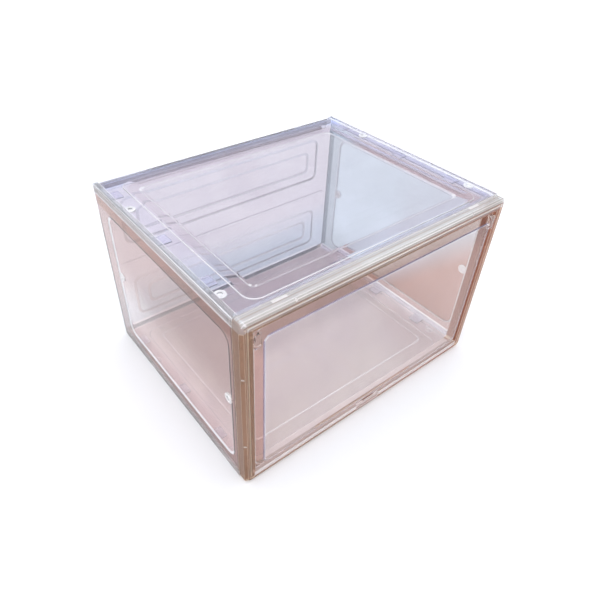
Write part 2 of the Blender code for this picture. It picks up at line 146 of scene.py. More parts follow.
# Front frame
FRAME_FACE = 0.012
FRAME_RING_DEPTH = 0.0124
FRAME_LIP_DEPTH = 0.009
FRAME_CHAMFER = 0.0030
FRAME_TONGUE_INSET = 0.0037
FRAME_TONGUE_END = 0.0190
FRAME_RADIUS = 0.0045
FRAME_RADIUS_LEAST = 0.001
FRAME_RADIUS_SHRINK = 0.3
# How far the inner face of the chamfer is shifted, as a share of the wall
FRAME_MITRE = 0.41
TOP_MEMBER_Z = 0.210
TOP_MEMBER_LINE = 0.0006
GROOVE_FROM = 0.0050
GROOVE_TO = 0.0072
GROOVE_DEPTH = 0.0008
GROOVE_SLOPE = 0.0004
TICK_WIDTH = 0.0016
TICK_DEPTH = 0.0020
TICK_HEIGHTS = (0.062, 0.157)
TICK_X = 0.1165
POCKET_X = 0.1275
POCKET_HALF_LENGTH = 0.0080
POCKET_PLACE = (0.0078, 0.0116)
POCKET_DEPTH = 0.0005
POCKET_BELOW = 0.0012
# Fine painted highlight and shade lines along the top member: rail and bevel by depth behind its front, rim by
# inset from its top
RAIL_LINES = ((0.0030, 0.0036), (0.0105, 0.0112))
RAIL_SEAM = (0.0068, 0.0075)
RIM_LINE = (0.0062, 0.0070)
RIM_SEAM = (0.0044, 0.0050)
BEVEL_LINE = (0.0012, 0.0018)
SILL_MARGIN = 0.001
SILL_FOOT = 0.0052
# Painted highlight lines across the sill's front, by height
SILL_LINES = ((0.0062, 0.0071), (0.0093, 0.0106))
NOTCH_HALF_WIDTH = 0.018
NOTCH_FLOOR_Z = 0.0042
NOTCH_FRONT, NOTCH_BEHIND, NOTCH_ABOVE = 0.002, 0.0013, 0.002
NOTCH_ROUND = 0.0009
STOP_DEPTH = 0.002
STOP_REACH = 0.003
STOP_HALF_LENGTH = 0.076
SIDE_STOP_HEIGHTS = ((0.030, 0.060), (0.140, 0.160))
TAB_HALF_LENGTH = 0.008
TAB_LOW_Z = 0.2074
TAB_DEPTHS = (0.0010, 0.0023)

# Door
DOOR_SIDE_GAP = 0.0009
DOOR_END_GAP = 0.0010
DOOR_FLANGE = 0.0012
DOOR_SLOPE = 0.0074
DOOR_CORNER = 0.003
DOOR_ROUND = 0.0008
# How far the inner face of the slope is shifted, as a share of the wall
SLOPE_SHIFT = 0.45
SLOPE_FOOT_CORNER = 0.012
CROWN_CORNER = 0.008
CROWN_LINE = 0.0012
CROWN_MARGIN = 0.0004
CROWN_REACH = 0.006
PIN_RADIUS = 0.0016
PIN_CLEARANCE = 0.0004
PIN_REACH = 0.0034
PIN_SIDES = 24
PIN_HOLE_DEPTH = 0.006
PIN_ROOT = 0.004
PIN_CORE = 0.0003
PIN_ROUND = 0.0004
PULL_HALF_WIDTH = 0.008
PULL_HEIGHTS = (0.0006, 0.0016, 0.0032, 0.0042)
PULL_PROUD = 0.0012
PULL_ROOT = 0.0005
PULL_ROUND = 0.0005
KNUCKLE_WIDTH = 0.0072
KNUCKLE_HEIGHTS = (0.1875, 0.2032)
KNUCKLE_FRONT = 0.0010
KNUCKLE_DEPTH = 0.0028
KNUCKLE_INSET = 0.0002
KNUCKLE_ROUND = 0.0008

# How the solids are made
CORNER_STEPS = 12
# A path that bends by less than this, in radians, is left as it is
STRAIGHT = 0.06
# A rounded corner takes up at most this share of the lines that meet in it
ROUNDED_SHARE = 0.45
# Rounds on hooks and stops
SMALL_ROUND = 0.0003
# A turned boss or hole starts this near its axis, so its ends aren't points
TURN_CORE = 0.0004
# Faces that would lie in one plane are kept this far apart
APART = 0.0001
# How far a cutter stands out of the face it cuts
BEYOND = 0.001
# Points nearer than this are one point
WELD = 2e-6

# How faces are told apart: play in their places, then limits on their normals and widths
SLACK = 0.0002
EDGE_SLACK = 0.0005
END_SLACK = 0.001
BOSS_SLACK = 0.002
FLAT_MARGIN = 0.0020
# A normal with more than this along an axis faces that way
FACING = 0.8
# A face narrower than this is part of a fillet, unless its normal is this near an axis
FILLET_WIDTH = 0.0006
LEVEL = 0.9995
# Neighbouring faces that meet at less than this are shaded as one curve
SMOOTH_ANGLE = math.radians(9.0)


def rounded_rectangle(half_width, half_height, radius, middle=(0.0, 0.0)):
    """Points of a rounded rectangle, the same number whatever its size."""
    points = []
    for corner in range(4):
        sign_u = 1 if corner in (0, 3) else -1
        sign_v = 1 if corner in (0, 1) else -1
        for step in range(CORNER_STEPS + 1):
            turn = math.pi / 2 * (corner + step / CORNER_STEPS)
            u = sign_u * (half_width - radius) + radius * math.cos(turn)
            v = sign_v * (half_height - radius) + radius * math.sin(turn)
            points.append((middle[0] + u, middle[1] + v))
    return points


def soften(points, radius, closed=True, plane=(0, 1), steps=3):
    """Rounds the corners of a path of tuples; plane names the two values that make its shape."""
    count = len(points)
    smooth = []
    for i, here in enumerate(points):
        if not closed and i in (0, count - 1):
            smooth.append(tuple(here))
            continue
        before, after = points[i - 1], points[(i + 1) % count]
        arm_in = Vector([before[k] - here[k] for k in plane])
        arm_out = Vector([after[k] - here[k] for k in plane])
        angle = arm_in.angle(arm_out)
        if math.pi - angle < STRAIGHT:
            smooth.append(tuple(here))
            continue
        most = ROUNDED_SHARE
        cut = min(radius / math.tan(angle / 2), most * arm_in.length, most * arm_out.length)
        share_in, share_out = cut / arm_in.length, cut / arm_out.length
        for step in range(steps + 1):
            t = step / steps
            weight_in = (1 - t) ** 2 * share_in
            weight_out = t**2 * share_out
            smooth.append(
                tuple(h + (b - h) * weight_in + (a - h) * weight_out for h, b, a in zip(here, before, after))
            )
    return smooth


def add_object(name, builder):
    """Turns a bmesh into an object in the scene."""
    bmesh.ops.recalc_face_normals(builder, faces=builder.faces)
    mesh = bpy.data.meshes.new(name)
    builder.to_mesh(mesh)
    builder.free()
    item = bpy.data.objects.new(name, mesh)
    bpy.context.scene.collection.objects.link(item)
    return item


def skin(builder, loops, ring=False):
    """Skins loops of points: capped at both ends, or closed on itself."""
    rows = [[builder.verts.new(point) for point in loop] for loop in loops]
    pairs = list(zip(rows, rows[1:]))
    if ring:
        pairs.append((rows[-1], rows[0]))
    for near, far in pairs:
        count = len(near)
        for i in range(count):
            j = (i + 1) % count
            builder.faces.new((near[i], near[j], far[j], far[i]))
    if not ring:
        builder.faces.new(rows[0])
        builder.faces.new(rows[-1])


def loft(name, loops, ring=False):
    """One solid skinned over loops of points."""
    builder = bmesh.new()
    skin(builder, loops, ring)
    return add_object(name, builder)


def prism_along_y(name, outline, from_y, to_y):
    """An outline of (x, z) drawn out along Y."""
    return loft(name, [[(x, y, z) for x, z in outline] for y in (from_y, to_y)])


def prism_along_x(name, outline, from_x, to_x):
    """An outline of (y, z) drawn out along X."""
    return loft(name, [[(x, y, z) for y, z in outline] for x in (from_x, to_x)])


def blocks(name, boxes, edge=0.0):
    """One mesh of separate boxes, each (low, high), with small rounds along the edges."""
    builder = bmesh.new()
    for low, high in boxes:
        made = bmesh.ops.create_cube(builder, size=1.0)["verts"]
        size = Vector(high) - Vector(low)
        middle = (Vector(high) + Vector(low)) / 2
        place = Matrix.Translation(middle) @ Matrix.Diagonal((*size, 1.0))
        bmesh.ops.transform(builder, matrix=place, verts=made)
    if edge > 0:
        bmesh.ops.bevel(
            builder, geom=list(builder.edges), offset=edge, segments=2, profile=0.5, affect="EDGES"
        )
    return add_object(name, builder)


def turned(name, profile, places, sides=32):
    """One mesh of solids turned from a profile of (radius, height), each at (centre, axis)."""
    builder = bmesh.new()
    for centre, axis in places:
        turn = Vector(axis).to_track_quat("Z", "Y").to_matrix()
        rows = []
        for radius, height in profile:
            row = []
            for i in range(sides):
                around = 2 * math.pi * i / sides
                spot = Vector((radius * math.cos(around), radius * math.sin(around), height))
                row.append(tuple(Vector(centre) + turn @ spot))
            rows.append(row)
        skin(builder, rows)
    return add_object(name, builder)


def combine(target, tool, operation):
    """Queues a Boolean with a tool; settle applies it and removes the tool."""
    modifier = target.modifiers.new(tool.name, "BOOLEAN")
    modifier.operation = operation
    modifier.solver = "EXACT"
    modifier.object = tool


def evaluated_mesh(item):
    """A mesh of the object with its modifiers applied."""
    graph = bpy.context.evaluated_depsgraph_get()
    return bpy.data.meshes.new_from_object(item.evaluated_get(graph), depsgraph=graph)


def narrow(face):
    """True for the thin tilted strips that make up a fillet."""
    level = max(abs(part) for part in face.normal) > LEVEL
    return not level and face.calc_area() / max(edge.calc_length() for edge in face.edges) < FILLET_WIDTH


def front_end(face):
    """True for the ends of the panels that butt against the frame."""
    return abs(face.normal.y) > 0.9 and face.calc_center_median().y < PANEL_FRONT_Y + END_SLACK


def near_boss(face, places):
    """True for faces that belong to one of the ring bosses, each (centre, axis)."""
    reach = BOSS_RADIUS + BOSS_SLACK
    return any(all((v.co - Vector(centre)).length < reach for v in face.verts) for centre, _ in places)


def tilted(part):
    """True for a bevel: part, its normal's share along the wall's normal, is neither near 1 nor near 0."""
    return 0.5 < abs(part) < 0.98


def settle(item, materials, zone, splits=()):
    """Applies the Booleans, gives each face its material and shades flats flat and fillets smooth.

    zone turns a face into its place in materials.  Faces are first parted along the splits, each
    a (point, normal) plane, so materials can change there.
    """
    tools = [m.object for m in item.modifiers if m.type == "BOOLEAN"]
    bpy.context.view_layer.update()
    mesh = evaluated_mesh(item)
    item.modifiers.clear()
    item.data = mesh
    for tool in tools:
        bpy.data.objects.remove(tool, do_unlink=True)
    builder = bmesh.new()
    builder.from_mesh(mesh)
    for spot, normal in splits:
        everything = list(builder.verts) + list(builder.edges) + list(builder.faces)
        bmesh.ops.bisect_plane(builder, geom=everything, plane_co=spot, plane_no=normal)
    bmesh.ops.remove_doubles(builder, verts=builder.verts, dist=WELD)
    bmesh.ops.dissolve_degenerate(builder, edges=builder.edges, dist=WELD)
    builder.normal_update()
    mesh.materials.clear()
    for material in materials:
        mesh.materials.append(material)
    for face in builder.faces:
        face.material_index = zone(face)
    builder.to_mesh(mesh)
    builder.free()
    mesh.polygons.foreach_set("use_smooth", [True] * len(mesh.polygons))
    mesh.set_sharp_from_angle(angle=SMOOTH_ANGLE)
    weigh = item.modifiers.new("weigh", "WEIGHTED_NORMAL")
    weigh.mode = "FACE_AREA"
    weigh.weight = 90
    weigh.keep_sharp = True
    bpy.context.view_layer.update()
    weighed = evaluated_mesh(item)
    item.modifiers.clear()
    item.data = weighed
    return item


def sink_field(panel, levels, place):
    """Presses a stepped field into a flat panel, keeping the wall's thickness."""
    spread = WALL / 2
    width, height, radius, _ = levels[0]
    back = [(width + spread, height + spread, radius + spread, WALL / 2)]
    back += [(w + spread, h + spread, r + spread, d + WALL) for w, h, r, d in levels]
    lead, rise = PRESS_LEAD
    lip, fall = PRESS_LIP
    front = [
        (width + lead, height + lead, radius + lead, -rise),
        (width - lip, height - lip, radius, fall),
    ]
    front += levels[1:]
    for label, contour, operation in (("swell", back, "UNION"), ("press", front, "DIFFERENCE")):
        path = soften(contour, FIELD_ROUND, closed=False, plane=(0, 3))
        loops = [[place(u, v, d) for u, v in rounded_rectangle(w, h, r)] for w, h, r, d in path]
        combine(panel, loft(f"{label}_{len(panel.modifiers)}_{panel.name}", loops), operation)


def field_levels(outer, inner, radius, step):
    """Outer contour, a bevel down, a band, and a second bevel down to the flat middle."""
    return [
        (outer[0], outer[1], radius, 0.0),
        (outer[0] - FIELD_BEVEL, outer[1] - FIELD_BEVEL, radius - FIELD_BEVEL, step),
        (inner[0], inner[1], radius * BAND_RADIUS, step * BAND_DROP),
        (inner[0] - FIELD_BEVEL, inner[1] - FIELD_BEVEL, radius * MIDDLE_RADIUS, step * MIDDLE_DROP),
    ]


def beaded_field(panel, place):
    """Raises a bead round the panel's field and slopes the field down inside it."""
    width, height = FIELD_OUTER
    crest = (width - BEAD_WIDTH, height - BEAD_WIDTH)
    flare = FIELD_LEAD * (crest[0] - FIELD_FOOT[0]) / (FOOT_DROP + BEAD_RISE)
    line = (FIELD_FOOT[0] - FOOT_LINE, FIELD_FOOT[1] - FOOT_LINE, FOOT_RADIUS - FOOT_LINE)
    line_drop = FOOT_DROP + FOOT_LINE_DROP
    swell = [
        (width - BEAD_WIDTH / 2, height - BEAD_WIDTH / 2, FIELD_RADIUS, -BEAD_RISE),
        (width - BEAD_CHAMFER, height - BEAD_CHAMFER, FIELD_RADIUS, -BEAD_RISE),
        (width, height, FIELD_RADIUS, WALL / 2),
        (*crest, FIELD_RADIUS, WALL - APART),
        (*FIELD_FOOT, FOOT_RADIUS, FOOT_DROP + WALL),
        (*line, line_drop + WALL),
        (*FIELD_INNER, INNER_RADIUS, INNER_DROP + WALL),
    ]
    press = [
        (crest[0] + flare, crest[1] + flare, FIELD_RADIUS, -BEAD_RISE - FIELD_LEAD),
        (*FIELD_FOOT, FOOT_RADIUS, FOOT_DROP),
        (*line, line_drop),
        (*FIELD_INNER, INNER_RADIUS, INNER_DROP),
        (FIELD_INNER[0] - MIDDLE_INSET, FIELD_INNER[1] - MIDDLE_INSET, INNER_RADIUS / 2, INNER_DROP),
    ]
    for label, contour, operation in (("swell", swell, "UNION"), ("press", press, "DIFFERENCE")):
        path = soften(contour, BEAD_ROUND, closed=False, plane=(0, 3))
        loops = [[place(u, v, d) for u, v in rounded_rectangle(w, h, r)] for w, h, r, d in path]
        combine(panel, loft(f"{label}_{panel.name}", loops), operation)


def tongue_outline(face, back, root, tip, edge_z, up):
    """Section of the tongue that slips behind a skirt, with its root in the wall below it."""
    return soften(
        [
            (face, tip),
            (back, tip),
            (back, edge_z - up * TONGUE_ROOT_MIDDLE),
            (root, edge_z - up * TONGUE_ROOT_FAR),
            (root, edge_z - up * TONGUE_ROOT_NEAR),
            (face, edge_z - up * TONGUE_ROOT_NEAR),
        ],
        TONGUE_ROUND,
    )


def wall_edges():
    """Label, height, direction and tongue tip of an upright wall's top and bottom edges."""
    drop = BORDER_DROP + WALL + 2 * GAP
    return (
        ("top", HEIGHT - SKIRT_HEIGHT, 1, HEIGHT - drop),
        ("bottom", SKIRT_HEIGHT, -1, drop),
    )


def node(tree, kind, **values):
    """Adds a shader node with the given settings."""
    made = tree.nodes.new(kind)
    for key, value in values.items():
        setattr(made, key, value)
    return made


def clear_plastic(name, light, dark, gloss=(0.01, 0.05), clear=1.0, wave=0.03, fades=(), bend=1.3):
    """Clear moulded plastic: faint flow marks in its tint, handling haze and a slight waviness.

    gloss is the range of roughness, clear the share of light let through, wave the strength of the
    waviness and bend the refractive index.  Each fade is (axes, start, end, colour): the tint is
    multiplied by the colour where the sum of the coordinates along those axes is beyond the end.
    """
    material = bpy.data.materials.new(name)
    material.use_nodes = True
    tree = material.node_tree
    link = tree.links.new
    shader = tree.nodes["Principled BSDF"]
    output = tree.nodes["Material Output"]
    shader.inputs["Transmission Weight"].default_value = clear
    shader.inputs["IOR"].default_value = bend
    place = node(tree, "ShaderNodeTexCoord")

    flow = node(tree, "ShaderNodeTexNoise")
    flow.inputs["Scale"].default_value = 9.0
    flow.inputs["Detail"].default_value = 3.0
    flow.inputs["Distortion"].default_value = 1.2
    link(place.outputs["Object"], flow.inputs["Vector"])
    tint = node(tree, "ShaderNodeValToRGB")
    tint.color_ramp.elements[0].position = 0.32
    tint.color_ramp.elements[0].color = (*dark, 1.0)
    tint.color_ramp.elements[1].position = 0.68
    tint.color_ramp.elements[1].color = (*light, 1.0)
    link(flow.outputs["Fac"], tint.inputs["Fac"])
    colour = tint.outputs["Color"]
    for axes, start, end, shade in fades:
        along = node(tree, "ShaderNodeVectorMath", operation="DOT_PRODUCT")
        link(place.outputs["Object"], along.inputs[0])
        along.inputs[1].default_value = [float(axis in axes) for axis in "XYZ"]
        share = node(tree, "ShaderNodeMapRange", interpolation_type="SMOOTHSTEP")
        share.inputs["From Min"].default_value = start
        share.inputs["From Max"].default_value = end
        link(along.outputs["Value"], share.inputs["Value"])
        blend = node(tree, "ShaderNodeMix", data_type="RGBA", blend_type="MULTIPLY")
        link(share.outputs["Result"], blend.inputs["Factor"])
        link(colour, blend.inputs["A"])
        blend.inputs["B"].default_value = (*shade, 1.0)
        colour = blend.outputs["Result"]
    link(colour, shader.inputs["Base Color"])

    haze = node(tree, "ShaderNodeTexNoise")
    haze.inputs["Scale"].default_value = 26.0
    haze.inputs["Detail"].default_value = 6.0
    link(place.outputs["Object"], haze.inputs["Vector"])
    rough = node(tree, "ShaderNodeMapRange")
    rough.inputs["From Min"].default_value = 0.35
    rough.inputs["From Max"].default_value = 0.75
    rough.inputs["To Min"].default_value = gloss[0]
    rough.inputs["To Max"].default_value = gloss[1]
    link(haze.outputs["Fac"], rough.inputs["Value"])
    link(rough.outputs["Result"], shader.inputs["Roughness"])

    ripple = node(tree, "ShaderNodeTexNoise")
    ripple.inputs["Scale"].default_value = 16.0
    ripple.inputs["Detail"].default_value = 1.5
    link(place.outputs["Object"], ripple.inputs["Vector"])
    bump = node(tree, "ShaderNodeBump")
    bump.inputs["Strength"].default_value = wave
    bump.inputs["Distance"].default_value = 0.004
    link(ripple.outputs["Fac"], bump.inputs["Height"])
    link(bump.outputs["Normal"], shader.inputs["Normal"])

    lamp = node(tree, "ShaderNodeLightPath")
    through = node(tree, "ShaderNodeBsdfTransparent")
    through.inputs["Color"].default_value = (*(0.99 * v**0.25 for v in light), 1.0)
    mix = node(tree, "ShaderNodeMixShader")
    link(lamp.outputs["Is Shadow Ray"], mix.inputs["Fac"])
    link(shader.outputs["BSDF"], mix.inputs[1])
    link(through.outputs["BSDF"], mix.inputs[2])
    link(mix.outputs["Shader"], output.inputs["Surface"])
    return material


# Roughness of the faces that look milky, and settings that the frame's plastics share
MILKY = (0.06, 0.16)
FRAME_PLASTIC = {"wave": 0.004, "bend": 1.2}
# Painted reflection and shade: the top panel's tints are bluer than the same plastic below, standing in for the
# sky mirrored on it, and its slope band is painted darker
TOP_FIELD = clear_plastic("top_field_plastic", (0.84, 0.85, 0.88), (0.80, 0.81, 0.84))
TOP_SLOPE = clear_plastic("top_slope_plastic", (0.76, 0.73, 0.79), (0.70, 0.66, 0.73))
# Painted reflection: the border's lilac tint, turning bluer towards the back edge, stands in for the sky
# mirrored on it
BORDER = clear_plastic(
    "border_plastic", (0.82, 0.82, 0.90), (0.74, 0.73, 0.82), fades=[("Y", 0.112, 0.128, (0.93, 1.0, 1.12))]
)
SKIRT = clear_plastic("skirt_plastic", (0.57, 0.53, 0.51), (0.52, 0.48, 0.46), MILKY, 0.8)
RIM = clear_plastic("rim_plastic", (0.54, 0.56, 0.56), (0.50, 0.52, 0.53), MILKY, 0.75)
# Painted highlight: ring bosses and the frame's tick marks and pockets are milky white, standing in for the
# light they catch
BOSS = clear_plastic("boss_plastic", (0.96, 0.96, 0.96), (0.93, 0.93, 0.93), MILKY, 0.5)
# Painted highlight: near-white, half-milky bevels and fillets on the bottom, side and back panels, standing in
# for the light their lines catch
BEVEL = clear_plastic("bevel_plastic", (0.97, 0.97, 0.99), (0.94, 0.94, 0.96), MILKY, 0.4)
# Painted highlight: near-white fillet lines, standing in for glints of the sky along the edges
EDGE = clear_plastic("edge_plastic", (0.99, 0.99, 1.0), (0.97, 0.97, 0.98), (0.12, 0.22), 0.62)
FLOOR_FIELD = clear_plastic("floor_field_plastic", (0.91, 0.86, 0.84), (0.86, 0.80, 0.81))
FLOOR_BORDER = clear_plastic("floor_border_plastic", (0.93, 0.87, 0.87), (0.88, 0.81, 0.82))
# Painted reflection and shade: the back field turns darker and bluer towards the bottom, standing in for the
# surroundings mirrored in it
BACK_FIELD = clear_plastic(
    "back_field_plastic", (0.84, 0.79, 0.81), (0.80, 0.75, 0.78), fades=[("Z", 0.10, 0.04, (0.85, 0.96, 1.0))]
)
LEFT_FIELD = clear_plastic(
    "left_field_plastic",
    (0.66, 0.53, 0.50),
    (0.61, 0.48, 0.46),
    fades=[("Z", 0.15, 0.05, (1.53, 1.72, 1.76)), ("Z", 0.055, 0.035, (0.94, 0.88, 0.89))],
)
# Painted reflection: the right field's terracotta tint and its pale bluish patch towards the back and top stand
# in for reflections of the surroundings; it is also a little darker towards the front
RIGHT_FIELD = clear_plastic(
    "right_field_plastic",
    (0.56, 0.37, 0.32),
    (0.52, 0.34, 0.29),
    fades=[("YZ", 0.000, 0.070, (1.40, 2.30, 2.80)), ("Y", 0.02, -0.03, (0.96, 0.93, 0.93))],
)
UNDER_SKIRT = ("Z", 0.1955, 0.1985, (0.80, 0.66, 0.58))
LEFT_BORDER = clear_plastic(
    "left_border_plastic",
    (0.56, 0.40, 0.36),
    (0.50, 0.34, 0.31),
    fades=[("Y", 0.06, 0.12, (1.2, 1.4, 1.45)), UNDER_SKIRT],
)
# Painted reflection and shade: the right border turns lighter and bluer towards the back, like the field, has a
# painted grey shade strip along its back end, and is bluer above the skirt line
RIGHT_BORDER = clear_plastic(
    "right_border_plastic",
    (0.68, 0.52, 0.49),
    (0.62, 0.46, 0.43),
    fades=[
        ("Y", 0.06, 0.12, (0.95, 1.35, 1.5)),
        ("Y", 0.1300, 0.1335, (0.60, 0.60, 0.62)),
        ("Z", 0.1955, 0.1985, (1.0, 1.1, 1.15)),
    ],
)
HOOK = clear_plastic("hook_plastic", (0.84, 0.84, 0.89), (0.80, 0.80, 0.86), clear=0.9)
POST = clear_plastic(
    "post_plastic",
    (0.42, 0.26, 0.175),
    (0.37, 0.225, 0.15),
    clear=0.6,
    fades=[("X", 0.0, 0.1, (1.24, 1.04, 1.10))],
    **FRAME_PLASTIC,
)
# Painted highlight: the frame's fillets and the side panels' front ends get a lighter yellowish tone, standing
# in for light caught along them, over the plastic's brownish tint
POST_EDGE = clear_plastic("post_edge_plastic", (0.84, 0.72, 0.58), (0.78, 0.66, 0.52), MILKY, 0.6, bend=1.2)
# Painted light: the top member's upward faces are light grey, standing in for the sky mirrored on them; its
# chamfer is painted a mid tone and its front keeps the plastic's brownish depth tint
RAIL = clear_plastic("rail_plastic", (0.84, 0.88, 0.88), (0.79, 0.83, 0.83), MILKY, 0.72, **FRAME_PLASTIC)
RAIL_BEVEL = clear_plastic(
    "rail_bevel_plastic", (0.72, 0.73, 0.69), (0.63, 0.64, 0.60), clear=0.66, **FRAME_PLASTIC
)
RAIL_WALL = clear_plastic(
    "rail_wall_plastic", (0.56, 0.48, 0.44), (0.51, 0.43, 0.40), clear=0.62, **FRAME_PLASTIC
)
SILL = clear_plastic("sill_plastic", (0.90, 0.83, 0.82), (0.85, 0.78, 0.77), clear=0.5, **FRAME_PLASTIC)
# Painted shade and light: the door's slope is darker towards its top and bottom and lighter towards its sides
SLOPE = clear_plastic(
    "slope_plastic",
    (0.84, 0.62, 0.56),
    (0.78, 0.56, 0.50),
    wave=0.012,
    fades=[
        ("Z", 0.17, 0.198, (0.81, 0.87, 0.85)),
        ("Z", 0.05, 0.02, (0.88, 0.95, 0.92)),
        ("X", 0.12, 0.15, (1.10, 1.12, 1.12)),
    ],
)
# Painted shade and highlight: a dark purple line and a light bluish line along the edge of the door's crown
CROWN_SHADE = clear_plastic("crown_shade_plastic", (0.30, 0.25, 0.36), (0.26, 0.22, 0.31), clear=0.6)
CROWN_HIGHLIGHT = clear_plastic("crown_light_plastic", (0.86, 0.88, 0.97), (0.82, 0.84, 0.94), MILKY, 0.75)
# Painted shade: the window darkens towards its top
WINDOW = clear_plastic(
    "window_plastic",
    (0.97, 0.94, 0.93),
    (0.94, 0.91, 0.90),
    wave=0.015,
    fades=[("Z", 0.165, 0.194, (0.86, 0.85, 0.86))],
)

# Sections (radius, height above the seat) of a ring boss and of its hole
RING_BOSS = soften(
    [
        (TURN_CORE, -0.0010),
        (BOSS_RADIUS, -0.0010),
        (BOSS_RADIUS, 0.0011),
        (0.0042, 0.0012),
        (0.0039, 0.0008),
        (0.0030, 0.0008),
        (0.0028, 0.0011),
        (TURN_CORE, 0.0011),
    ],
    0.0004,
    closed=False,
)
RING_HOLE = soften(
    [
        (TURN_CORE, -0.0008),
        (0.0016, -0.0008),
        (BOSS_HOLE_RADIUS, -0.0003),
        (BOSS_HOLE_RADIUS, 0.0030),
        (TURN_CORE, 0.0030),
    ],
    0.0003,
    closed=False,
)


def make_flat_panel(name, up):
    """The top panel (up = 1) or the bottom one (up = -1), a mirror image of it."""
    face = HEIGHT if up > 0 else 0.0

    def level(drop):
        return face - up * drop

    inside = HALF_WIDTH - SKIRT_THICKNESS
    rim = HALF_WIDTH - RIM_WIDTH
    skirt_end = level(SKIRT_HEIGHT - GAP)
    plate_back = level(BORDER_DROP + WALL)
    half_section = soften(
        [
            (SECTION_START_X, plate_back),
            (SECTION_START_X, level(BORDER_DROP)),
            (rim - BORDER_DROP * RIM_SLOPE, level(BORDER_DROP)),
            (rim, level(0.0)),
            (HALF_WIDTH, level(0.0)),
            (HALF_WIDTH, skirt_end),
            (inside, skirt_end),
            (inside, plate_back),
        ],
        RIM_ROUND,
    )
    right = [(x, z) for x, z in half_section if x > SECTION_START_X + WALL]
    outline = right + [(-x, z) for x, z in reversed(right)]
    panel = prism_along_y(name, outline, PANEL_FRONT_Y, BACK_Y)
    ends = sorted((skirt_end, level(BORDER_DROP + WALL / 2)))
    low = (-HALF_WIDTH, BACK_Y - SKIRT_THICKNESS, ends[0])
    high = (HALF_WIDTH, BACK_Y, ends[1])
    combine(panel, blocks(f"back_skirt_{name}", [(low, high)]), "UNION")
    beaded_field(panel, lambda u, v, depth: (u, v + PANEL_MID_Y, level(BORDER_DROP + depth)))
    seats = [(side * BOSS_X, y) for side in (-1, 1) for y in (BOSS_BACK_Y, BOSS_FRONT_Y)]
    places = [((x, y, level(BORDER_DROP)), (0, 0, up)) for x, y in seats]
    combine(panel, turned(f"rings_{name}", RING_BOSS, places), "UNION")
    combine(panel, turned(f"ring_holes_{name}", RING_HOLE, places), "DIFFERENCE")
    reach_x, reach_y = (half + EDGE_SLACK for half in FIELD_OUTER)
    flat_x, flat_y = (half - FLAT_MARGIN for half in FIELD_INNER)
    border, field, rim_top, edge, boss, slope, skirt = range(7)

    def zone(face):
        if near_boss(face, places):
            return boss
        spot = face.calc_center_median()
        outer = all(abs(v.co.x) > rim - EDGE_SLACK for v in face.verts)
        if outer and up < 0 and spot.x < 0 and not front_end(face):
            return skirt
        if narrow(face) or front_end(face):
            return edge
        if outer and spot.x > 0:
            return border
        if outer:
            return rim_top if abs(face.normal.z) > 0.6 else skirt
        if all(abs(v.co.x) < reach_x and abs(v.co.y - PANEL_MID_Y) < reach_y for v in face.verts):
            sloped = all(abs(v.co.x) > flat_x or abs(v.co.y - PANEL_MID_Y) > flat_y for v in face.verts)
            return slope if sloped else field
        return border

    materials = (BORDER, TOP_FIELD, RIM, EDGE, BOSS, TOP_SLOPE, SKIRT)
    if up < 0:
        materials = (FLOOR_BORDER, FLOOR_FIELD, RIM, BEVEL, BEVEL, FLOOR_FIELD, SKIRT)
    return settle(panel, materials, zone)


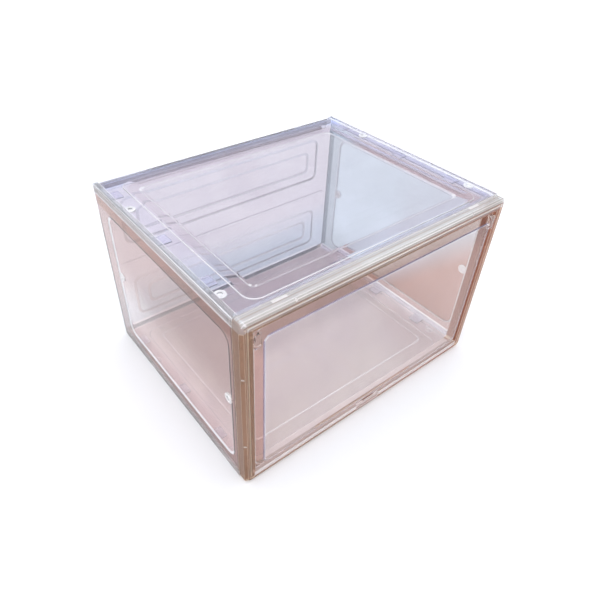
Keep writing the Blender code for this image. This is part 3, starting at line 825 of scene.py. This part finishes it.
def make_side_panel(name, side):
    """The left panel (side = -1) or the right one (side = 1)."""
    outer = side * HALF_WIDTH
    inner = outer - side * WALL
    low_z = SKIRT_HEIGHT
    high_z = HEIGHT - SKIRT_HEIGHT
    back_y = BACK_Y - WALL - GAP
    outline = soften([(outer, low_z), (outer, high_z), (inner, high_z), (inner, low_z)], WALL_ROUND)
    panel = prism_along_y(name, outline, PANEL_FRONT_Y, back_y)
    tongue_face = side * (HALF_WIDTH - SKIRT_THICKNESS - GAP)
    tongue_back = tongue_face - side * TONGUE_THICKNESS
    root = outer - side * WALL * SIDE_ROOT_SHARE
    clear_of_frame = FRAME_Y + FRAME_TONGUE_END + TONGUE_TO_FRAME
    for label, edge_z, up, tip in wall_edges():
        tongue = tongue_outline(tongue_face, tongue_back, root, tip, edge_z, up)
        tool = prism_along_y(f"{label}_tongue_{name}", tongue, clear_of_frame, back_y - TONGUE_TO_BACK)
        combine(panel, tool, "UNION")
        root_x = tongue_face - side * TONGUE_THICKNESS / 2
        reach_x = tongue_back - side * HOOK_REACH
        under = tip - up * HOOK_THICKNESS
        hooks = []
        for middle_y in HOOK_PLACES:
            near_y, far_y = middle_y - HOOK_LENGTH / 2, middle_y + HOOK_LENGTH / 2
            low = (min(root_x, reach_x), near_y, min(tip - up * APART, under))
            high = (max(root_x, reach_x), far_y, max(tip - up * APART, under))
            hooks.append((low, high))
        combine(panel, blocks(f"{label}_hooks_{name}", hooks, SMALL_ROUND), "UNION")
    half_y, half_z = SIDE_FIELD
    levels = [
        (half_y, half_z, SIDE_FIELD_RADIUS, 0.0),
        (half_y - FIELD_BEVEL, half_z - FIELD_BEVEL, SIDE_FIELD_RADIUS - FIELD_BEVEL, FIELD_STEP),
    ]
    mid_y, mid_z = SIDE_FIELD_MID
    sink_field(panel, levels, lambda u, v, depth: (outer - side * depth, mid_y + u, mid_z + v))
    outside_x, inside_x = outer - side * FIELD_STEP, inner - side * (FIELD_STEP - BACK_BOSS_SINK)
    places = [((outside_x, y, SIDE_BOSS_Z), (side, 0, 0)) for y in SIDE_BOSS_YS]
    places += [((inside_x, y, SIDE_BOSS_Z), (-side, 0, 0)) for y in SIDE_BOSS_YS]
    combine(panel, turned(f"rings_{name}", RING_BOSS, places), "UNION")
    combine(panel, turned(f"ring_holes_{name}", RING_HOLE, places), "DIFFERENCE")
    border, field, edge, boss, hook, end, bevel = range(7)

    def zone(face):
        spot = face.calc_center_median()
        if near_boss(face, places):
            return boss
        if front_end(face):
            return end
        if narrow(face):
            return edge
        if tilted(face.normal.x) and (side > 0 or spot.x < WALL - HALF_WIDTH):
            return bevel
        if all(abs(v.co.y - mid_y) < half_y + WALL and abs(v.co.z - mid_z) < half_z + WALL for v in face.verts):
            return field
        return hook if abs(spot.z - HEIGHT / 2) > high_z - HEIGHT / 2 else border

    tints = (LEFT_BORDER, LEFT_FIELD) if side < 0 else (RIGHT_BORDER, RIGHT_FIELD)
    return settle(panel, (*tints, EDGE, BOSS, HOOK, POST_EDGE, BEVEL), zone)


def make_back_panel(name):
    """The back, with a rib along the middle and two nested fields above and below it."""
    inner_y = BACK_Y - WALL
    low_z = SKIRT_HEIGHT
    high_z = HEIGHT - SKIRT_HEIGHT
    outline = soften([(BACK_Y, low_z), (BACK_Y, high_z), (inner_y, high_z), (inner_y, low_z)], WALL_ROUND)
    panel = prism_along_x(name, outline, -HALF_WIDTH, HALF_WIDTH)
    tongue_face = BACK_Y - SKIRT_THICKNESS - GAP
    tongue_back = tongue_face - TONGUE_THICKNESS
    root = BACK_Y - WALL * BACK_ROOT_SHARE
    reach = HALF_WIDTH - BACK_TONGUE_END
    for label, edge_z, up, tip in wall_edges():
        tongue = tongue_outline(tongue_face, tongue_back, root, tip, edge_z, up)
        combine(panel, prism_along_x(f"{label}_tongue_{name}", tongue, -reach, reach), "UNION")
    rib = soften(
        [
            (inner_y - BACK_RIB_PROUD, BACK_RIB_Z - BACK_RIB_HEIGHT / 2),
            (inner_y + WALL / 2, BACK_RIB_Z - BACK_RIB_HEIGHT / 2),
            (inner_y + WALL / 2, BACK_RIB_Z + BACK_RIB_HEIGHT / 2),
            (inner_y - BACK_RIB_PROUD, BACK_RIB_Z + BACK_RIB_HEIGHT / 2),
        ],
        BACK_RIB_ROUND,
    )
    reach = HALF_WIDTH - BACK_RIB_END
    combine(panel, prism_along_x(f"rib_{name}", rib, -reach, reach), "UNION")
    levels = field_levels(BACK_FIELD_OUTER, BACK_FIELD_INNER, BACK_FIELD_RADIUS, BACK_FIELD_STEP)
    for lift in (-BACK_FIELD_LIFT, BACK_FIELD_LIFT):
        mid_z = BACK_RIB_Z + lift
        sink_field(panel, levels, lambda u, v, depth, mid_z=mid_z: (u, BACK_Y - depth, mid_z + v))

    field, bevel = range(2)

    def zone(face):
        return bevel if narrow(face) or tilted(face.normal.y) else field

    return settle(panel, (BACK_FIELD, BEVEL), zone)


def make_front_frame(name):
    """A picture frame with a grooved face, an outer wall, an inner lip and a rear tongue."""
    tongue_inner = FRAME_TONGUE_INSET + TONGUE_THICKNESS
    chamfer_inner = FRAME_CHAMFER + WALL * FRAME_MITRE
    profile = soften(
        [
            (FRAME_CHAMFER, 0.0),
            (0.0, FRAME_CHAMFER),
            (0.0, FRAME_RING_DEPTH),
            (FRAME_TONGUE_INSET, FRAME_RING_DEPTH),
            (FRAME_TONGUE_INSET, FRAME_TONGUE_END),
            (tongue_inner, FRAME_TONGUE_END),
            (tongue_inner, FRAME_RING_DEPTH - WALL),
            (WALL, FRAME_RING_DEPTH - WALL),
            (WALL, chamfer_inner),
            (chamfer_inner, WALL),
            (FRAME_FACE - WALL, WALL),
            (FRAME_FACE - WALL, FRAME_LIP_DEPTH),
            (FRAME_FACE, FRAME_LIP_DEPTH),
            (FRAME_FACE, 0.0),
            (GROOVE_TO, 0.0),
            (GROOVE_TO - GROOVE_SLOPE, GROOVE_DEPTH),
            (GROOVE_FROM + GROOVE_SLOPE, GROOVE_DEPTH),
            (GROOVE_FROM, 0.0),
        ],
        WALL_ROUND,
    )
    middle = (0.0, HEIGHT / 2)
    loops = []
    for inset, depth in profile:
        radius = max(FRAME_RADIUS - inset * FRAME_RADIUS_SHRINK, FRAME_RADIUS_LEAST)
        contour = rounded_rectangle(HALF_WIDTH - inset, HEIGHT / 2 - inset, radius, middle)
        loops.append([(x, FRAME_Y + depth, z) for x, z in contour])
    ring = loft(name, loops, ring=True)

    low = (-NOTCH_HALF_WIDTH, FRAME_Y - NOTCH_FRONT, NOTCH_FLOOR_Z)
    high = (NOTCH_HALF_WIDTH, HINGE.y - NOTCH_BEHIND, FRAME_FACE + NOTCH_ABOVE)
    combine(ring, blocks(f"notch_{name}", [(low, high)], NOTCH_ROUND), "DIFFERENCE")

    half_tick, reach = TICK_WIDTH / 2, FRAME_CHAMFER / 2 + TICK_DEPTH / 2
    front, above = FRAME_Y - BEYOND, HEIGHT + BEYOND
    nicks = []
    for side in (-1, 1):
        low_x, high_x = sorted((side * (HALF_WIDTH + BEYOND), side * (HALF_WIDTH - reach)))
        for z in TICK_HEIGHTS:
            nicks.append(((low_x, front, z - half_tick), (high_x, FRAME_Y + reach, z + half_tick)))
        x = side * TICK_X
        nicks.append(((x - half_tick, front, HEIGHT - reach), (x + half_tick, FRAME_Y + reach, above)))
        x = side * POCKET_X
        low = (x - POCKET_HALF_LENGTH, FRAME_Y + POCKET_PLACE[0], HEIGHT - POCKET_DEPTH)
        high = (x + POCKET_HALF_LENGTH, FRAME_Y + POCKET_PLACE[1], above)
        nicks.append((low, high))
    combine(ring, blocks(f"nicks_{name}", nicks), "DIFFERENCE")

    opening = HALF_WIDTH - FRAME_FACE
    sill_reach = opening + SILL_MARGIN
    stop_y = HINGE.y + WALL / 2 + GAP
    stops = [
        (
            (-STOP_HALF_LENGTH, stop_y, FRAME_FACE - WALL / 2),
            (STOP_HALF_LENGTH, stop_y + STOP_DEPTH, FRAME_FACE + STOP_REACH),
        ),
        (
            (-TAB_HALF_LENGTH, FRAME_Y + TAB_DEPTHS[0], TAB_LOW_Z),
            (TAB_HALF_LENGTH, FRAME_Y + TAB_DEPTHS[1], HEIGHT - FRAME_FACE + WALL / 2),
        ),
    ]
    holes = []
    for side in (-1, 1):
        for low_z, high_z in SIDE_STOP_HEIGHTS:
            edges = sorted((side * (opening + WALL / 2), side * (opening - STOP_REACH)))
            stops.append(((edges[0], stop_y, low_z), (edges[1], stop_y + STOP_DEPTH, high_z)))
        holes.append(((side * (opening - WALL), HINGE.y, HINGE.z), (side, 0, 0)))
    combine(ring, blocks(f"stops_{name}", stops, SMALL_ROUND), "UNION")
    bore = PIN_RADIUS + PIN_CLEARANCE
    hole = [(bore, 0.0), (bore, PIN_HOLE_DEPTH)]
    combine(ring, turned(f"pin_holes_{name}", hole, holes, PIN_SIDES), "DIFFERENCE")
    post, rail, post_edge, rail_wall, sill, mark, edge, rail_bevel = range(8)

    def top_zone(face, spot, depth):
        """Zones of the top member: lines along its top, chamfer and front."""
        inset = HEIGHT - spot.z
        on_top, on_front = face.normal.z > FACING, face.normal.y < -FACING
        on_chamfer = abs(face.normal.y + face.normal.z) < 0.5
        # Painted highlight and shade lines on the top member's top, front and chamfer, then its faces toned by
        # which way they face
        if on_top and any(near < depth < far for near, far in RAIL_LINES):
            return edge
        if on_top and RAIL_SEAM[0] < depth < RAIL_SEAM[1]:
            return rail_wall
        if on_front and RIM_LINE[0] < inset < RIM_LINE[1]:
            return post_edge
        if on_front and RIM_SEAM[0] < inset < RIM_SEAM[1]:
            return post
        if on_chamfer and BEVEL_LINE[0] < depth < BEVEL_LINE[1]:
            return edge
        if narrow(face) and abs(spot.x) < HALF_WIDTH - FRAME_RADIUS:
            return edge
        if face.normal.z > 0.4 and depth < FRAME_CHAMFER:
            return rail_bevel
        return rail if on_top else rail_wall

    def marked(face, spot, depth):
        """True on the tick marks and in the pockets."""
        reach = TICK_WIDTH / 2 + SLACK
        if any(all(abs(v.co.z - z) < reach for v in face.verts) for z in TICK_HEIGHTS):
            return True
        if all(abs(abs(v.co.x) - TICK_X) < reach for v in face.verts):
            return True
        if abs(abs(spot.x) - POCKET_X) >= POCKET_HALF_LENGTH + SLACK or spot.z <= HEIGHT - POCKET_BELOW:
            return False
        return POCKET_PLACE[0] - SLACK < depth < POCKET_PLACE[1] + SLACK

    def zone(face):
        spot = face.calc_center_median()
        depth = spot.y - FRAME_Y
        if marked(face, spot, depth):
            return mark
        if spot.z > TOP_MEMBER_Z:
            return top_zone(face, spot, depth)
        if spot.z < FRAME_FACE + SILL_MARGIN and abs(spot.x) < sill_reach:
            if spot.z < SILL_FOOT and face.normal.y < -0.1:
                return post
            # Painted shade: the sill's top inside the opening gets the dark rail-wall tint; painted highlights:
            # lines across its front and its fillets get the edge tint
            if face.normal.z > FACING and spot.z > FRAME_FACE - SLACK and depth < FRAME_LIP_DEPTH:
                return rail_wall
            line = face.normal.y < -FACING and any(near < spot.z < far for near, far in SILL_LINES)
            return edge if line or narrow(face) else sill
        return post_edge if narrow(face) else post

    heights = [TOP_MEMBER_Z, TOP_MEMBER_Z - TOP_MEMBER_LINE, FRAME_FACE, SILL_FOOT]
    heights += [HEIGHT - inset for inset in (*RIM_LINE, *RIM_SEAM)]
    heights += [z for pair in SILL_LINES for z in pair]
    depths = [depth for pair in (*RAIL_LINES, RAIL_SEAM, BEVEL_LINE) for depth in pair]
    splits = [((0.0, 0.0, z), (0.0, 0.0, 1.0)) for z in heights]
    splits += [((0.0, FRAME_Y + depth, 0.0), (0.0, 1.0, 0.0)) for depth in depths]
    splits += [((side * sill_reach, 0.0, 0.0), (1.0, 0.0, 0.0)) for side in (-1, 1)]
    return settle(ring, (POST, RAIL, POST_EDGE, RAIL_WALL, SILL, BOSS, EDGE, RAIL_BEVEL), zone, splits)


def make_door(name):
    """A shallow tray whose flat crown stands proud of the frame, with a pin at each top corner."""
    low_z = FRAME_FACE + DOOR_END_GAP
    high_z = HEIGHT - FRAME_FACE - DOOR_END_GAP
    half_x = HALF_WIDTH - FRAME_FACE - DOOR_SIDE_GAP
    half_z = (high_z - low_z) / 2
    middle = (0.0, (high_z + low_z) / 2)
    flange_front = HINGE.y - WALL / 2
    inner_shift = WALL * SLOPE_SHIFT
    slope_end = DOOR_FLANGE + DOOR_SLOPE
    crown_edge = slope_end + CROWN_MARGIN
    line_share = CROWN_LINE / (crown_edge - DOOR_FLANGE)
    path = soften(
        [
            (slope_end + CROWN_REACH, CROWN_Y, CROWN_CORNER - DOOR_CORNER),
            (crown_edge + CROWN_LINE, CROWN_Y, CROWN_CORNER),
            (crown_edge, CROWN_Y, CROWN_CORNER),
            (crown_edge - CROWN_LINE, CROWN_Y + line_share * (flange_front - CROWN_Y), CROWN_CORNER),
            (DOOR_FLANGE, flange_front, SLOPE_FOOT_CORNER),
            (0.0, flange_front, DOOR_CORNER),
            (0.0, flange_front + WALL, DOOR_CORNER),
            (DOOR_FLANGE + inner_shift, flange_front + WALL, SLOPE_FOOT_CORNER),
            (slope_end + inner_shift, CROWN_Y + WALL, CROWN_CORNER),
            (slope_end + CROWN_REACH, CROWN_Y + WALL, CROWN_CORNER - DOOR_CORNER),
        ],
        DOOR_ROUND,
        closed=False,
    )
    loops = []
    for inset, y, radius in path:
        outline = rounded_rectangle(half_x - inset, half_z - inset, radius, middle)
        loops.append([(x, y, z) for x, z in outline])
    door = loft(name, loops)

    front_y = FRAME_Y - KNUCKLE_FRONT
    back_y = front_y + KNUCKLE_DEPTH + WALL
    knuckles = []
    for side in (-1, 1):
        low_x, high_x = sorted((side * (half_x - KNUCKLE_INSET), side * (half_x - KNUCKLE_WIDTH)))
        knuckles.append(((low_x, front_y, KNUCKLE_HEIGHTS[0]), (high_x, back_y, KNUCKLE_HEIGHTS[1])))
    combine(door, blocks(f"knuckles_{name}", knuckles, KNUCKLE_ROUND), "UNION")
    start = half_x - PIN_ROOT
    length = PIN_ROOT + DOOR_SIDE_GAP + PIN_REACH
    pin = [(PIN_CORE, 0.0), (PIN_RADIUS, 0.0), (PIN_RADIUS, length), (PIN_CORE, length)]
    places = [((side * start, HINGE.y, HINGE.z), (side, 0, 0)) for side in (-1, 1)]
    pins = turned(f"pins_{name}", soften(pin, PIN_ROUND, closed=False), places, PIN_SIDES)
    combine(door, pins, "UNION")
    pull_ys = (HINGE.y - PULL_ROOT, FRAME_Y - PULL_PROUD, FRAME_Y - PULL_PROUD, HINGE.y - PULL_ROOT)
    pull = soften([(y, low_z + rise) for y, rise in zip(pull_ys, PULL_HEIGHTS)], PULL_ROUND)
    combine(door, prism_along_x(f"pull_{name}", pull, -PULL_HALF_WIDTH, PULL_HALF_WIDTH), "UNION")
    reach_x, reach_z = half_x - slope_end, half_z - slope_end
    slope, window, edge, crown_shade, crown_highlight = range(5)

    def zone(face):
        spot = face.calc_center_median()
        inset = min(half_x - abs(spot.x), half_z - abs(spot.z - middle[1]))
        # The crown's edge is painted: a dark shade line outside, a highlight line inside
        if abs(inset - crown_edge) < CROWN_LINE and spot.y < CROWN_Y + WALL / 2:
            return crown_shade if inset < crown_edge else crown_highlight
        if narrow(face):
            return edge
        if all(abs(v.co.x) < reach_x and abs(v.co.z - middle[1]) < reach_z for v in face.verts):
            return window
        return slope

    return settle(door, (SLOPE, WINDOW, EDGE, CROWN_SHADE, CROWN_HIGHLIGHT), zone)


def place_piece(piece, cad_node, body):
    """Hides the CAD node that a piece stands in for and puts the piece on its body."""
    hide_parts(cad_node)
    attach(piece, body)


place_piece(make_flat_panel("clear_top_panel", 1), "top_panel", "case")
place_piece(make_flat_panel("clear_bottom_panel", -1), "bottom_panel", "case")
place_piece(make_side_panel("clear_left_panel", -1), "left_panel", "case")
place_piece(make_side_panel("clear_right_panel", 1), "right_panel", "case")
place_piece(make_back_panel("clear_back_panel"), "back_panel", "case")
place_piece(make_front_frame("clear_front_frame"), "front_frame", "case")
place_piece(make_door("clear_front_door"), "front_door", "door")


FLOOR_HALF_WIDTH = 4.0
FLOOR_DROP = 0.0004


def make_floor():
    """A plain pale floor just under the box."""
    builder = bmesh.new()
    bmesh.ops.create_grid(builder, x_segments=1, y_segments=1, size=FLOOR_HALF_WIDTH)
    floor = add_object("floor", builder)
    floor.location.z = -FLOOR_DROP
    material = bpy.data.materials.new("pale_floor")
    material.use_nodes = True
    shader = material.node_tree.nodes["Principled BSDF"]
    shader.inputs["Base Color"].default_value = (0.86, 0.86, 0.86, 1.0)
    shader.inputs["Roughness"].default_value = 0.9
    shader.inputs["Specular IOR Level"].default_value = 0.0
    floor.data.materials.append(material)


# The surround's colour by height, from the horizon to straight up
SKY = (
    (0.0, (0.44, 0.42, 0.41)),
    (0.40, (0.36, 0.37, 0.40)),
    (0.70, (0.34, 0.37, 0.44)),
    (0.84, (0.95, 0.97, 1.0)),
    (1.0, (1.0, 1.0, 1.0)),
)
SKY_STRENGTH = 2.2


def make_world():
    """A plain studio surround: grey from the horizon up, and a broad soft light overhead."""
    world = bpy.data.worlds.new("studio")
    bpy.context.scene.world = world
    world.use_nodes = True
    tree = world.node_tree
    link = tree.links.new
    background = tree.nodes["Background"]
    place = node(tree, "ShaderNodeTexCoord")
    split = node(tree, "ShaderNodeSeparateXYZ")
    link(place.outputs["Generated"], split.inputs["Vector"])
    ramp = node(tree, "ShaderNodeValToRGB")
    stops = ramp.color_ramp.elements
    while len(stops) < len(SKY):
        stops.new(1.0)
    for stop, (height, colour) in zip(stops, SKY):
        stop.position = height
        stop.color = (*colour, 1.0)
    link(split.outputs["Z"], ramp.inputs["Fac"])
    link(ramp.outputs["Color"], background.inputs["Color"])
    background.inputs["Strength"].default_value = SKY_STRENGTH


def make_lamp(name, spot, aim, size, power, colour):
    """A rectangular area light at spot, facing aim."""
    data = bpy.data.lights.new(name, "AREA")
    data.shape = "RECTANGLE"
    data.size, data.size_y = size
    data.energy = power
    data.color = colour
    lamp = bpy.data.objects.new(name, data)
    bpy.context.scene.collection.objects.link(lamp)
    lamp.location = spot
    lamp.rotation_euler = (Vector(aim) - Vector(spot)).to_track_quat("-Z", "Y").to_euler()


def make_camera():
    """The photo's viewpoint, as fitted to the box's corners."""
    data = bpy.data.cameras.new("camera")
    data.sensor_width = 36.0
    data.lens = 31.66
    data.shift_x = 0.0271
    data.shift_y = 0.0081
    data.clip_start = 0.01
    camera = bpy.data.objects.new("camera", data)
    bpy.context.scene.collection.objects.link(camera)
    right = Vector((0.78988, -0.61276, 0.02477)).normalized()
    ahead = Vector((0.48022, 0.59290, -0.64641)).normalized()
    up = right.cross(ahead).normalized()
    turn = Matrix((right, up, -ahead)).transposed().to_4x4()
    camera.matrix_world = Matrix.Translation((-0.33201, -0.38859, 0.49228)) @ turn
    bpy.context.scene.camera = camera


make_floor()
make_world()
make_lamp(
    "key_window",
    spot=(-0.9, -0.5, 1.2),
    aim=(0.0, 0.0, 0.1),
    size=(0.5, 0.5),
    power=2.0,
    colour=(1.0, 0.98, 0.95),
)
make_camera()
bpy.context.scene.view_settings.view_transform = "Standard"
